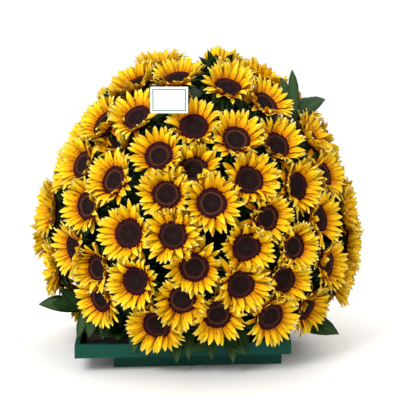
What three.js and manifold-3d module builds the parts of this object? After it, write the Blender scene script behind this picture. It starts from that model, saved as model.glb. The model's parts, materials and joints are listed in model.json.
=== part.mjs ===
// A dome of cut sunflowers standing in a shallow painted tray.
// Millimetres, +Z up, origin at the centre of the foot's underside, the front faces -Y.
// Every head faces out of an egg-shaped dome, and its stem runs in to a mound of floral foam.
import * as THREE from 'three';
import { mergeVertices } from 'three/addons/utils/BufferGeometryUtils.js';
import Module from 'manifold-3d';

const wasm = await Module();
wasm.setup();

// ---- driving dimensions ----

const clearance = 0.3;            // gap between touching pieces

const foot = { width: 290, depth: 290, height: 27 };
const tray = { width: 365, depth: 365, height: 23, wall: 9, floor: 6, shift: -27, turn: 4 };
const holderShift = -8;            // tray and foot together, to the left of the dome's middle

const heartHeight = 205;          // middle of the dome, where all the stems point
const dome = { radius: 262, rise: 318, drop: 215 };
const lowTurn = 0.4;               // share of the downward turn that the low heads keep
const foam = { radius: 136, rise: 165 };

const disc = { radius: 27, lip: 3, swell: 6 };
const ray = { length: 36, reach: 56, rise: 24 };
const calyx = { radius: 22, depth: 11 };
const stem = { radius: 4.5, neck: 25, standOff: 4 };
const headSides = 8;

const headGap = 0.8;              // between two heads that are separate pieces
const headJoin = 24;              // how far a head of a cluster grows into its partner
const stalkRoom = 8;              // kept free of heads around each leaf stalk and the pick
const nearHeads = 2.4 * ray.reach; // heads further off than this never meet
const sideways = 0.05;            // less facing than this never meets a neighbour
const lowestRay = 55;             // height that no ray tip goes below

const card = { width: 60, height: 42, thickness: 1.2, bearing: -11.5, level: 217, proud: 46 };
const pick = { radius: 1.6, behind: 22, foot: 0.42 }; // foot: share of the card below its middle
const bud = { bearing: -75, level: 250, length: 30, radius: 11, stalk: 3, neck: 0.85 };
const budProfile = [[0.1, 0.75], [0.25, 1], [0.6, 0.8], [1, 0.25]]; // shares of length and radius
const leaf = { thickness: 1.8, stations: 6, stalk: 1.8, arch: 0.08, fullness: 0.75, tip: 0.7 };
const leafBend = 0.8;              // share of a stalk's way to its leaves where it bends

// ---- planting plan ----

// The rows of the front, from the crown down: height above the heart, how far
// the heads stand proud of the dome, and their bearings in degrees, right is +.
const frontRows = [
  [287, -4, [-17.5]],
  [274, 0, [-52]],
  [269, 0, [22]],
  [243, 0, [42]],
  [217, 6, [-30]],
  [208, 3, [-50.5]],
  [205, 3, [-1.5]],
  [189, -14, [-40.5]],
  [184, 5, [16.5]],
  [182, 5, [62]],
  [175, 0, [36.5]],
  [160, 5, [-15]],
  [143, -9, [-1.5]],
  [141, 3, [-53]],
  [123, 4, [19.5]],
  [122, 4, [60.5]],
  [120, 4, [-32.5]],
  [110, 0, [41]],
  [103, 0, [-11]],
  [89, 8, [5]],
  [77, 0, [-44.5]],
  [64, -2, [25.5]],
  [53, 0, [51]],
  [40, 6, [-23.5, -8]],
  [20, -2, [17.5]],
  [14, -2, [36.5]],
  [5, 4, [-49.5]],
  [-10, 0, [-1]],
  [-24, -4, [-39]],
  [-29, 0, [57.5]],
  [-34, 4, [-21.5]],
  [-39, 4, [15]],
  [-40, -5, [33.5]],
  [-44, 0, [-75]],
  [-66, -4, [-5.5]],
  [-77, 0, [-40.5]],
  [-92, 0, [8]],
  [-99, 9, [29.5]],
  [-106, -2, [56]],
  [-117, -3, [-17.5]],
];

// The leaf sprigs: where the stalk comes out of the dome, how far proud of it the
// leaves part, and each leaf's tip, measured from the heart, with its width.
const sprigs = [
  {
    name: 'leaf_sprig_top_right',
    bearing: 57,
    level: 214,
    proud: 36,
    leaves: [[148, -34, 291, 12], [168, -44, 303, 14], [195, -56, 254, 14], [229, -36, 250, 20]],
  },
  {
    name: 'leaf_sprig_left',
    bearing: -72,
    level: -124,
    proud: 8,
    leaves: [[-285, -66, -116, 24], [-258, -92, -108, 20]],
  },
  {
    name: 'leaf_sprig_right',
    bearing: 64,
    level: -145,
    proud: 9,
    leaves: [[250, -108, -160, 28]],
  },
  {
    name: 'leaf_sprig_front_left',
    bearing: -42,
    level: -148,
    proud: 0,
    leaves: [[-200, -150, -144, 18], [-160, -188, -142, 24], [-132, -196, -146, 20]],
  },
  {
    name: 'leaf_sprig_front_right',
    bearing: 15,
    level: -147,
    proud: 4,
    leaves: [[82, -212, -168, 18], [-14, -214, -162, 18]],
  },
];

// The rows that carry the dome round behind: height, first and last bearing, how many, and how
// much wider than the plain dome the row stands on its left and on its right, as a share.
const backRows = [
  [312, 130, 130, 1, 0, 0],
  [306, 282, 282, 1, 0, 0],
  [283, 85, 265, 5, -0.12, 0],
  [232, 86, 274, 8, -0.09, 0.02],
  [172, 92, 286, 10, -0.07, 0],
  [112, 84, 282, 12, -0.05, 0],
  [52, 76, 286, 13, 0.02, 0.03],
  [-12, 78, 268, 12, 0.05, 0.05],
  [-72, 72, 270, 11, 0.03, 0.07],
  [-126, 80, 264, 9, 0.02, 0.02],
  [303, 48, 48, 1, 0, 0],
];
const stagger = 8;                // every other head of a back row sits this much higher

// The back rows are cut into clusters: by bearing, and into an upper and a lower one. Each
// head of a cluster grows into its partner, so that a cluster is one piece.
const clusterSides = [[130, 'right'], [180, 'back_right'], [230, 'back_left'], [360, 'left']];
const clusterSplit = 140;

// ---- materials ----

function material(color, roughness, metalness = 0) {
  return new THREE.MeshStandardMaterial({ color, roughness, metalness });
}

// ---- geometry helpers ----

// A closed skin through rings of points, which run round the way that the rings go on.
// All rings have the same number of points, but for a single point that closes an end.
function skin(rings) {
  const points = rings.flat();
  const faces = [];
  let start = 0;
  for (let i = 0; i + 1 < rings.length; i += 1) {
    const low = rings[i].length;
    const high = rings[i + 1].length;
    const next = start + low;
    const sides = Math.max(low, high);
    for (let k = 0; k < sides; k += 1) {
      const j = (k + 1) % sides;
      if (low === 1) faces.push(start, next + j, next + k);
      else if (high === 1) faces.push(start + k, start + j, next);
      else faces.push(start + k, start + j, next + k, start + j, next + j, next + k);
    }
    start = next;
  }
  const geometry = new THREE.BufferGeometry().setFromPoints(points);
  geometry.setIndex(faces);
  return geometry;
}

function solid(geometry) {
  const bare = geometry.clone();
  bare.deleteAttribute('normal');
  bare.deleteAttribute('uv');
  const merged = mergeVertices(bare, 1e-4);
  return new wasm.Manifold(new wasm.Mesh({
    numProp: 3,
    vertProperties: new Float32Array(merged.attributes.position.array),
    triVerts: new Uint32Array(merged.index.array),
  }));
}

function geometryOf(body) {
  const mesh = body.getMesh();
  const geometry = new THREE.BufferGeometry();
  geometry.setAttribute('position', new THREE.BufferAttribute(mesh.vertProperties, 3));
  geometry.setIndex(new THREE.BufferAttribute(mesh.triVerts, 1));
  return geometry;
}

function joined(geometries) {
  return geometryOf(geometries.map(solid).reduce((sum, body) => sum.add(body)));
}

// ---- places on the dome ----

const heart = new THREE.Vector3(0, 0, heartHeight);

function place(bearing, height, lift) {
  const rise = height >= 0 ? dome.rise : dome.drop;
  const reach = dome.radius * Math.sqrt(1 - (height / rise) ** 2);
  const angle = THREE.MathUtils.degToRad(bearing);
  const out = new THREE.Vector3(reach * Math.sin(angle), -reach * Math.cos(angle), height);
  const turnShare = height >= 0 ? 1 : lowTurn;
  const facing = height * turnShare * (dome.radius / rise) ** 2;
  const axis = new THREE.Vector3(out.x, out.y, facing).normalize();
  const centre = out.clone().addScaledVector(axis, lift).add(heart);
  const turn = new THREE.Quaternion().setFromUnitVectors(new THREE.Vector3(0, 0, 1), axis);
  return { centre, axis, turn, height, bearing };
}

function frontFlowers() {
  return frontRows.flatMap(([height, lift, bearings]) => (
    bearings.map((bearing) => place(bearing, height, lift))
  ));
}

function backFlowers() {
  const flowers = backRows.flatMap(([height, first, last, count, left, right]) => (
    Array.from({ length: count }, (_, i) => {
      const bearing = first + (last - first) * (count > 1 ? i / (count - 1) : 0);
      const flower = place(bearing, height + (i % 2 ? stagger : 0), 0);
      flower.centre.x *= 1 + (flower.centre.x < 0 ? left : right);
      const side = clusterSides.find(([limit]) => bearing <= limit)[1];
      flower.cluster = `sunflowers_${side}_${height > clusterSplit ? 'upper' : 'lower'}`;
      return flower;
    })
  ));
  clusterNames(flowers).forEach((name) => pairUp(flowers.filter(({ cluster }) => cluster === name)));
  return flowers;
}

function clusterNames(flowers) {
  return [...new Set(flowers.map(({ cluster }) => cluster))];
}

// Joins the heads of a cluster one by one, always the pair with the shortest way between.
function pairUp(flowers) {
  const [first, ...waiting] = flowers;
  const done = [first];
  while (waiting.length) {
    const pairs = waiting.flatMap((flower) => done.map((partner) => (
      { flower, partner, way: flower.centre.distanceTo(partner.centre) }
    )));
    const { flower, partner } = pairs.sort((a, b) => a.way - b.way)[0];
    flower.partner = partner;
    done.push(flower);
    waiting.splice(waiting.indexOf(flower), 1);
  }
}

// Where a straight stem to the heart comes to the foam, which is egg-shaped above the
// heart and a plain column below it.
function foamEntry(point) {
  const offset = point.clone().sub(heart);
  const level = Math.hypot(offset.x, offset.y) / foam.radius;
  const rise = Math.max(offset.z, 0) / foam.rise;
  const length = offset.length();
  return offset.multiplyScalar(1 / Math.hypot(level, rise) + stem.standOff / length).add(heart);
}

// ---- one sunflower ----

// How far a head may spread in one direction, at one depth, before it meets a neighbour
// or comes down to the tray.
function spread(flower, neighbours, direction, depth) {
  let limit = ray.reach;
  if (direction.z < 0) {
    const drop = flower.centre.z + depth * flower.axis.z - lowestRay;
    limit = Math.min(limit, drop / -direction.z);
  }
  for (const other of neighbours) {
    if (other === flower) continue;
    const away = other.centre.clone().sub(flower.centre);
    const distance = away.length();
    away.divideScalar(distance);
    const facing = direction.dot(away);
    if (facing < sideways) continue;
    let border = distance / 2 - headGap / 2;
    if (other.stalk) border = distance - stalkRoom;
    else if (flower.partner === other || other.partner === flower) border = (distance + headJoin) / 2;
    limit = Math.min(limit, (border - depth * flower.axis.dot(away)) / facing);
  }
  return limit;
}

// Rays that have no room to lie flat stand up by what is left of their length.
function rayTip(flower, neighbours, direction) {
  let rise = 0;
  for (let i = 0; i < 3; i += 1) {
    const room = spread(flower, neighbours, direction, rise) - disc.radius;
    const left = Math.max(ray.length ** 2 - room ** 2, 0);
    rise = Math.min(Math.sqrt(left), ray.rise);
  }
  return { radius: spread(flower, neighbours, direction, rise), rise };
}

// The head's own axis is local Z and its disc's middle is the local origin.
function sunflowerGeometry(flower, neighbours) {
  const near = neighbours.filter((other) => (
    other.centre.distanceTo(flower.centre) < nearHeads
  ));
  const angles = Array.from({ length: headSides }, (_, k) => 2 * Math.PI * k / headSides);
  const local = angles.map((angle) => new THREE.Vector3(Math.cos(angle), Math.sin(angle), 0));
  const world = local.map((direction) => direction.clone().applyQuaternion(flower.turn));
  const ring = (radius, depth) => local.map((direction, k) => {
    const fitted = Math.min(radius, spread(flower, near, world[k], depth));
    return direction.clone().multiplyScalar(fitted).setZ(depth);
  });
  const tips = local.map((direction, k) => {
    const tip = rayTip(flower, near, world[k]);
    return direction.clone().multiplyScalar(tip.radius).setZ(tip.rise);
  });
  const inward = flower.turn.clone().invert();
  const end = foamEntry(flower.centre).sub(flower.centre).applyQuaternion(inward);
  const cut = local.map((direction) => direction.clone().multiplyScalar(stem.radius).add(end));
  return skin([
    [end],
    cut,
    ring(stem.radius, -stem.neck),
    ring(calyx.radius, -calyx.depth),
    tips,
    ring(disc.radius, disc.lip),
    [new THREE.Vector3(0, 0, disc.swell)],
  ]);
}

// ---- rods and leaves ----

// Across and up at each point of a path, with up as near as can be to the given way.
function frames(points, upward) {
  return points.map((point, i) => {
    const ahead = points[Math.min(i + 1, points.length - 1)].clone();
    ahead.sub(points[Math.max(i - 1, 0)]).normalize();
    const across = upward.clone().cross(ahead).normalize();
    return { point, across, up: ahead.clone().cross(across) };
  });
}

// A round rod of changing thickness through the points.
function rod(points, radii, upward, sides = 6) {
  const rings = frames(points, upward).map(({ point, across, up }, i) => (
    Array.from({ length: sides }, (_, k) => {
      const angle = 2 * Math.PI * k / sides;
      return point.clone()
        .addScaledVector(across, radii[i] * Math.cos(angle))
        .addScaledVector(up, radii[i] * Math.sin(angle));
    })
  ));
  return skin([[points[0]], ...rings, [points[points.length - 1]]]);
}

// A pointed blade that is widest before its middle, and arches a little on its way.
function blade(base, tip, width, upward) {
  const length = base.distanceTo(tip);
  const points = Array.from({ length: leaf.stations + 1 }, (_, i) => {
    const share = i / leaf.stations;
    const arch = leaf.arch * length * Math.sin(Math.PI * share);
    return base.clone().lerp(tip, share).addScaledVector(upward, arch);
  });
  const rings = frames(points, upward).slice(0, -1).map(({ point, across, up }, i) => {
    const share = i / leaf.stations;
    const fullness = Math.sin(Math.PI * share ** leaf.fullness);
    const half = Math.max(width / 2 * fullness, leaf.tip);
    const thick = leaf.thickness / 2;
    return [
      point.clone().addScaledVector(across, half),
      point.clone().addScaledVector(up, thick),
      point.clone().addScaledVector(across, -half),
      point.clone().addScaledVector(up, -thick),
    ];
  });
  return skin([[base.clone().lerp(points[1], -0.1)], ...rings, [tip]]);
}

function sprigGeometry(sprig) {
  const root = place(sprig.bearing, sprig.level, 0);
  const parting = root.centre.clone().addScaledVector(root.axis, sprig.proud);
  const entry = foamEntry(root.centre);
  const bend = entry.clone().lerp(root.centre, leafBend);
  const path = [entry, bend, parting];
  const stalk = rod(path, path.map(() => leaf.stalk), new THREE.Vector3(0.3, 0.2, 1));
  const blades = sprig.leaves.map(([x, y, z, width]) => (
    blade(parting, new THREE.Vector3(x, y, z).add(heart), width, new THREE.Vector3(0, 0, 1))
  ));
  return joined([stalk, ...blades]);
}

function budGeometry() {
  const root = place(bud.bearing, bud.level, 0);
  const entry = foamEntry(root.centre);
  const radii = budProfile.map(([, width]) => width * bud.radius);
  const closed = budProfile.map(([share]) => (
    root.centre.clone().addScaledVector(root.axis, share * bud.length)
  ));
  const path = [entry, entry.clone().lerp(root.centre, bud.neck), root.centre, ...closed];
  const thickness = [bud.stalk, bud.stalk, bud.stalk, ...radii];
  return rod(path, thickness, new THREE.Vector3(0, -1, 0.2), 8);
}

// ---- holder, foam and card ----

function footMesh() {
  const mesh = new THREE.Mesh(
    new THREE.BoxGeometry(foot.width, foot.depth, foot.height),
    material(0x0f3d36, 0.5),
  );
  mesh.position.z = foot.height / 2;
  return mesh;
}

function trayMesh() {
  const outside = new THREE.BoxGeometry(tray.width, tray.depth, tray.height);
  const inner = tray.width - 2 * tray.wall;
  const hollow = new THREE.BoxGeometry(inner, inner, tray.height);
  hollow.translate(0, 0, tray.floor);
  const shell = geometryOf(solid(outside).subtract(solid(hollow)));
  const mesh = new THREE.Mesh(shell, material(0x12463e, 0.5));
  mesh.position.set(tray.shift, 0, foot.height + clearance + tray.height / 2);
  return mesh;
}

function foamGeometry() {
  const bottom = foot.height + tray.floor + 2 * clearance;
  const profile = [new THREE.Vector2(0, bottom), new THREE.Vector2(foam.radius, bottom)];
  const arcSteps = 6;
  for (let i = 0; i < arcSteps; i += 1) {
    const angle = Math.PI / 2 * i / arcSteps;
    profile.push(new THREE.Vector2(
      foam.radius * Math.cos(angle),
      heartHeight + foam.rise * Math.sin(angle),
    ));
  }
  profile.push(new THREE.Vector2(0, heartHeight + foam.rise));
  const mound = new THREE.LatheGeometry(profile, 24);
  mound.rotateX(Math.PI / 2);
  return geometryOf(solid(mound));
}

function cardPlace() {
  const root = place(card.bearing, card.level, 0);
  const outward = root.centre.clone().sub(heart).normalize();
  return root.centre.clone().addScaledVector(outward, card.proud);
}

function cardMesh() {
  const mesh = new THREE.Mesh(
    new THREE.BoxGeometry(card.width, card.thickness, card.height),
    material(0xf4f4f0, 0.6),
  );
  mesh.position.copy(cardPlace());
  return mesh;
}

// The pick leaves the foam, passes between the heads and stands up behind the card.
function pickGeometry() {
  const root = place(card.bearing, card.level, 0);
  const middle = cardPlace();
  const back = middle.y + card.thickness / 2 + clearance + pick.radius;
  const low = new THREE.Vector3(middle.x, back, middle.z - pick.foot * card.height);
  const high = low.clone().setZ(low.z + pick.behind);
  const path = [foamEntry(root.centre), root.centre, low, high];
  return rod(path, path.map(() => pick.radius), new THREE.Vector3(1, 0, 0), 6);
}

// ---- the whole bunch ----

const petalYellow = material(0xf2b01e, 0.6);
const leafGreen = material(0x24421f, 0.45);
const bunch = new THREE.Group();

function add(name, mesh, parent = bunch) {
  mesh.name = name;
  parent.add(mesh);
}

const holder = new THREE.Group();
holder.rotation.z = THREE.MathUtils.degToRad(tray.turn);
holder.position.x = holderShift;
bunch.add(holder);
add('tray_foot', footMesh(), holder);
add('tray', trayMesh(), holder);
add('floral_foam', new THREE.Mesh(foamGeometry(), material(0x1f4a2a, 0.95)));
add('card', cardMesh());
add('card_pick', new THREE.Mesh(pickGeometry(), material(0x2f6b35, 0.4)));

const front = frontFlowers();
const back = backFlowers();
const stalks = [...sprigs, bud, card].map(({ bearing, level }) => (
  { ...place(bearing, level, 0), stalk: true }
));
const neighbours = [...front, ...back, ...stalks];

front.forEach((flower, i) => {
  const geometry = sunflowerGeometry(flower, neighbours);
  const mesh = new THREE.Mesh(geometry, petalYellow.clone());
  mesh.position.copy(flower.centre);
  mesh.quaternion.copy(flower.turn);
  add(`sunflower_${String(i + 1).padStart(2, '0')}`, mesh);
});

for (const name of clusterNames(back)) {
  const heads = back.filter((flower) => flower.cluster === name).map((flower) => {
    const geometry = sunflowerGeometry(flower, neighbours);
    geometry.applyQuaternion(flower.turn);
    return geometry.translate(...flower.centre.toArray());
  });
  add(name, new THREE.Mesh(joined(heads), petalYellow.clone()));
}

sprigs.forEach((sprig) => {
  add(sprig.name, new THREE.Mesh(sprigGeometry(sprig), leafGreen.clone()));
});
add('sunflower_bud', new THREE.Mesh(budGeometry(), material(0x3f6a2c, 0.6)));

export default bunch;
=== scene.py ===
# %% [markdown]
# # A bunch of sunflowers in a painted tray
# The real thing is a dome of cut sunflowers. Their stems are pushed into a block of floral foam, which
# stands in a green wooden tray. This lesson grows each flower from a few rules, round a measured frame.

# %% Load the measured frame
import json
import math

import bmesh
import bpy
import numpy as np
from mathutils import Matrix, Vector

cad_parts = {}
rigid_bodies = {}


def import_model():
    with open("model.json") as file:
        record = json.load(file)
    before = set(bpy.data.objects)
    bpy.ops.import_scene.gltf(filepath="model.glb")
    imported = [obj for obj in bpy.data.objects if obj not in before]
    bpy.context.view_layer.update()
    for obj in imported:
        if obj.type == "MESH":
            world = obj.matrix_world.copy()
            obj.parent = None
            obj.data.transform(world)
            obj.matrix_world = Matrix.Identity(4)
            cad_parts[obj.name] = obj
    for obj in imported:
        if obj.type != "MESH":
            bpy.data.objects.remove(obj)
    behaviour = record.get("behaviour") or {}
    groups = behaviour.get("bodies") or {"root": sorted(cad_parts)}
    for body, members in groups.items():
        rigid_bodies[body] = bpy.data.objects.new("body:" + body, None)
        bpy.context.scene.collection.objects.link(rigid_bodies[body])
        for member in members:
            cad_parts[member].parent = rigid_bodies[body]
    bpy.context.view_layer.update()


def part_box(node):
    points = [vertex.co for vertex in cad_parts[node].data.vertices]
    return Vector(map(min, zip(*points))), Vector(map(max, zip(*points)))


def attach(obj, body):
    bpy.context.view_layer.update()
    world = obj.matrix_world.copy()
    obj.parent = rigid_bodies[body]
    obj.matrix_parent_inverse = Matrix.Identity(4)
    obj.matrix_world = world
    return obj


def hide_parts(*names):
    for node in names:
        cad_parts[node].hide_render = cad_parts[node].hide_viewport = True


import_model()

# %% [markdown]
# ## The camera
# A dome of flowers is looked at from a little above its middle. A long lens from well back keeps the
# round shape true, so the camera goes first, and every later step is judged through it.

# %% Camera
HEART = np.array([0.0, 0.0, 0.205])  # middle of the dome, where all the stems point
CAMERA_PLACE = (0.0, -1.728, 0.479)
CAMERA_AIM = (0.0055, 0.0, 0.270)


def stand(thing, place, aim):
    """Puts a camera or a lamp into the scene at a place, turned to its aim."""
    thing.location = place
    thing.rotation_mode = "QUATERNION"
    thing.rotation_quaternion = (Vector(aim) - Vector(place)).to_track_quat("-Z", "Y")
    bpy.context.scene.collection.objects.link(thing)


camera = bpy.data.objects.new("camera", bpy.data.cameras.new("camera"))
camera.data.lens = 85
camera.data.sensor_width = 36
stand(camera, CAMERA_PLACE, CAMERA_AIM)
bpy.context.scene.camera = camera
print("camera distance:", round((Vector(CAMERA_AIM) - Vector(CAMERA_PLACE)).length, 3))

# %% [markdown]
# ## The light
# Petals look best in broad, soft light. A pale world fills every shadow a little, and one large lamp in
# front, high on the left, shapes the heads. "Standard" colour keeps a strong yellow from going grey.

# %% Light
ROOM_LIGHT = 1.12
LAMPS = {  # place, size in metres and power in watts
    "key lamp": ((-1.2, -2.2, 2.0), 1.1, 58),
    "back lamp": ((1.4, 2.2, 1.9), 1.6, 30),
}
LAMP_AIM = (0.0, 0.0, 0.25)
bpy.context.scene.view_settings.view_transform = "Standard"
world = bpy.data.worlds.new("pale room")
world.use_nodes = True
background = world.node_tree.nodes["Background"]
background.inputs["Color"].default_value = (1.0, 1.0, 1.0, 1.0)
background.inputs["Strength"].default_value = ROOM_LIGHT
bpy.context.scene.world = world
for name, (where, size, power) in LAMPS.items():
    lamp = bpy.data.objects.new(name, bpy.data.lights.new(name, "AREA"))
    lamp.data.shape = "DISK"
    lamp.data.size = size
    lamp.data.energy = power
    stand(lamp, where, LAMP_AIM)
print("lamps:", list(LAMPS))

# %% [markdown]
# ## Sums on sockets
# A finish is a small calculation on every spot of a surface. Written as Python expressions it reads
# like the rule it is, so one class wraps a socket and lets Python's signs add the nodes.

# %% A wire
class Wire:
    """One output socket. Signs between it and a number, or another one, add Math nodes."""

    def __init__(self, finish, socket):
        self.finish = finish
        self.socket = socket

    def sum(self, operation, first, second):
        return self.finish.node("ShaderNodeMath", {"operation": operation}, {0: first, 1: second})

    def through(self, operation, other=0.0):
        return self.sum(operation, self, other)

    def __add__(self, other):
        return self.sum("ADD", self, other)

    def __sub__(self, other):
        return self.sum("SUBTRACT", self, other)

    def __rsub__(self, other):
        return self.sum("SUBTRACT", other, self)

    def __mul__(self, other):
        return self.sum("MULTIPLY", self, other)

    __radd__ = __add__
    __rmul__ = __mul__


# %% A finish
class Finish:
    """One material: a Principled shader and the nodes that feed it."""

    def __init__(self, name, **fixed):
        self.material = bpy.data.materials.new(name)
        self.material.use_nodes = True
        self.tree = self.material.node_tree
        self.shader = self.tree.nodes["Principled BSDF"]
        for socket, value in fixed.items():
            self.shader.inputs[socket.replace("_", " ")].default_value = value

    def join(self, socket, value):
        if isinstance(value, Wire):
            self.tree.links.new(value.socket, socket)
        else:
            socket.default_value = value

    def node(self, kind, settings, sockets, out=0):
        node = self.tree.nodes.new(kind)
        for key, value in settings.items():
            if key != "stops":
                setattr(node, key, value)
                continue
            ramp = node.color_ramp
            while len(ramp.elements) < len(value):
                ramp.elements.new(0.5)
            for element, (place, colour) in zip(ramp.elements, value):
                element.position = place
                element.color = (*colour, 1.0)
        for key, value in sockets.items():
            self.join(node.inputs[key], value)
        return Wire(self, node.outputs[out])

    def where(self):
        """Each spot's place on the object, in metres."""
        return self.node("ShaderNodeTexCoord", {}, {}, "Object")

    def note(self, name):
        """A number that the mesh itself carries, such as how far along its petal a spot is."""
        return self.node("ShaderNodeAttribute", {"attribute_name": name}, {}, "Fac")

    def ramp(self, amount, *stops):
        return self.node("ShaderNodeValToRGB", {"stops": stops}, {"Fac": amount})

    def blend(self, amount, first, second, way="MIX"):
        settings = {"data_type": "RGBA", "blend_type": way}
        first, second = [
            (*colour, 1.0) if isinstance(colour, tuple) else colour for colour in (first, second)
        ]
        return self.node("ShaderNodeMix", settings, {0: amount, 6: first, 7: second}, 2)

    def stretched(self, where, x, y, z):
        """The same places, with the pattern squeezed along each way by these factors."""
        return self.node("ShaderNodeMapping", {}, {"Vector": where, "Scale": (x, y, z)})

    def place(self, x, y, z):
        return self.node("ShaderNodeCombineXYZ", {}, {0: x, 1: y, 2: z})

    def noise(self, where, scale, detail=3.0):
        sockets = {"Vector": where, "Scale": scale, "Detail": detail}
        return self.node("ShaderNodeTexNoise", {}, sockets, "Fac")

    def wear(self, colour, roughness, height, depth):
        """Joins what varies over the surface: colour, roughness, and a height in metres."""
        bump = self.node("ShaderNodeBump", {}, {"Height": height, "Distance": depth, "Strength": 1.0})
        self.join(self.shader.inputs["Base Color"], colour)
        self.join(self.shader.inputs["Roughness"], roughness)
        self.join(self.shader.inputs["Normal"], bump)
        print("finish:", self.material.name, "nodes:", len(self.tree.nodes))
        return self.material


# %% [markdown]
# ## The floor
# A studio floor is one sheet that sweeps up into a wall, so that no horizon shows. This one is round,
# a profile turned about the middle, and so it is plain and pale from every side.

# %% Floor
FLOOR_FLAT, SWEEP, WALL_TOP = 3.6, 1.5, 3.4
FLOOR_SIDES, SWEEP_STEPS, HUB = 64, 12, 0.02
floor_finish = Finish("pale floor", Roughness=0.9)
speckle = floor_finish.noise(floor_finish.where(), 60.0)
pale = floor_finish.blend(speckle, (0.88, 0.88, 0.87), (0.91, 0.91, 0.90))
PALE_FLOOR = floor_finish.wear(pale, 0.9, speckle, 0.0002)
profile = [(HUB, 0.0), (FLOOR_FLAT, 0.0)]
for step in range(1, SWEEP_STEPS + 1):
    turn = math.pi / 2 * step / SWEEP_STEPS
    profile.append((FLOOR_FLAT + SWEEP * math.sin(turn), SWEEP * (1 - math.cos(turn))))
profile.append((FLOOR_FLAT + SWEEP, WALL_TOP))
circle = [2 * math.pi * k / FLOOR_SIDES for k in range(FLOOR_SIDES)]
spots = [(r * math.cos(angle), r * math.sin(angle), z) for r, z in profile for angle in circle]
quads = []
for i in range(len(profile) - 1):
    for k in range(FLOOR_SIDES):
        inner, outer, beside = i * FLOOR_SIDES, (i + 1) * FLOOR_SIDES, (k + 1) % FLOOR_SIDES
        quads.append((inner + k, inner + beside, outer + beside, outer + k))
floor_mesh = bpy.data.meshes.new("floor")
floor_mesh.from_pydata(spots, [], [tuple(range(FLOOR_SIDES))] + quads)
floor_mesh.materials.append(PALE_FLOOR)
floor_mesh.polygons.foreach_set("use_smooth", [True] * len(floor_mesh.polygons))
floor = bpy.data.objects.new("floor", floor_mesh)
bpy.context.scene.collection.objects.link(floor)
print("floor and wall reach:", FLOOR_FLAT + SWEEP)

# %% [markdown]
# ## One way to make every skin
# A petal, a leaf, a stem and a flower's disc are all the same kind of thing: rings of points strung
# along a line and closed at both ends. Numpy can make hundreds of them at once. Each strip also keeps
# notes for the finishes, and its own cell of the piece's map, so that nothing overlaps there.

# %% The faces of a strip
def strip_faces(stations, sides):
    """A strip's faces, and their corners' places on a map. -1 is the corner a triangle lacks."""
    ring = np.arange(stations * sides).reshape(stations, sides)
    ahead = np.roll(ring, -1, 1)
    none = np.full(sides, -1)
    base, tip = np.full(sides, stations * sides), np.full(sides, stations * sides + 1)
    body = np.stack([ring[:-1], ahead[:-1], ahead[1:], ring[1:]], -1).reshape(-1, 4)
    foot = np.stack([base, ahead[0], ring[0], none], -1)
    top = np.stack([ring[-1], ahead[-1], tip, none], -1)
    around = np.arange(sides) / sides
    level = 0.06 + 0.88 * np.arange(stations) / max(stations - 1, 1)
    zero, one = np.zeros(sides), np.ones(sides)
    u = np.stack([around, around + 1 / sides, around + 1 / sides, around], -1)
    u = np.tile(u, (stations - 1, 1))
    v = np.repeat(np.stack([level[:-1], level[:-1], level[1:], level[1:]], -1), sides, 0)
    u_foot = np.stack([around + 0.5 / sides, around + 1 / sides, around, zero], -1)
    v_foot = np.stack([zero, zero + level[0], zero + level[0], zero], -1)
    u_top = np.stack([around, around + 1 / sides, around + 0.5 / sides, zero], -1)
    v_top = np.stack([zero + level[-1], zero + level[-1], one, zero], -1)
    corners = np.stack([np.concatenate([u, u_foot, u_top]), np.concatenate([v, v_foot, v_top])], -1)
    return np.concatenate([body, foot, top]), corners


def finished(name, mesh, materials, slot, *nodes):
    """The finished object, which rides on the one body and stands for these nodes."""
    for material in materials:
        mesh.materials.append(material)
    made = bpy.data.objects.new(name, mesh)
    bpy.context.scene.collection.objects.link(made)
    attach(made, "root")
    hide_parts(*nodes)
    return made


# %% Strips of rings and their map
CELLS_PER_FLOWER = 140  # about as many strips as a head with its leaves has
DISC_BLOCK = 6  # cells along a side of the block that a head's disc takes on the map


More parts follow.
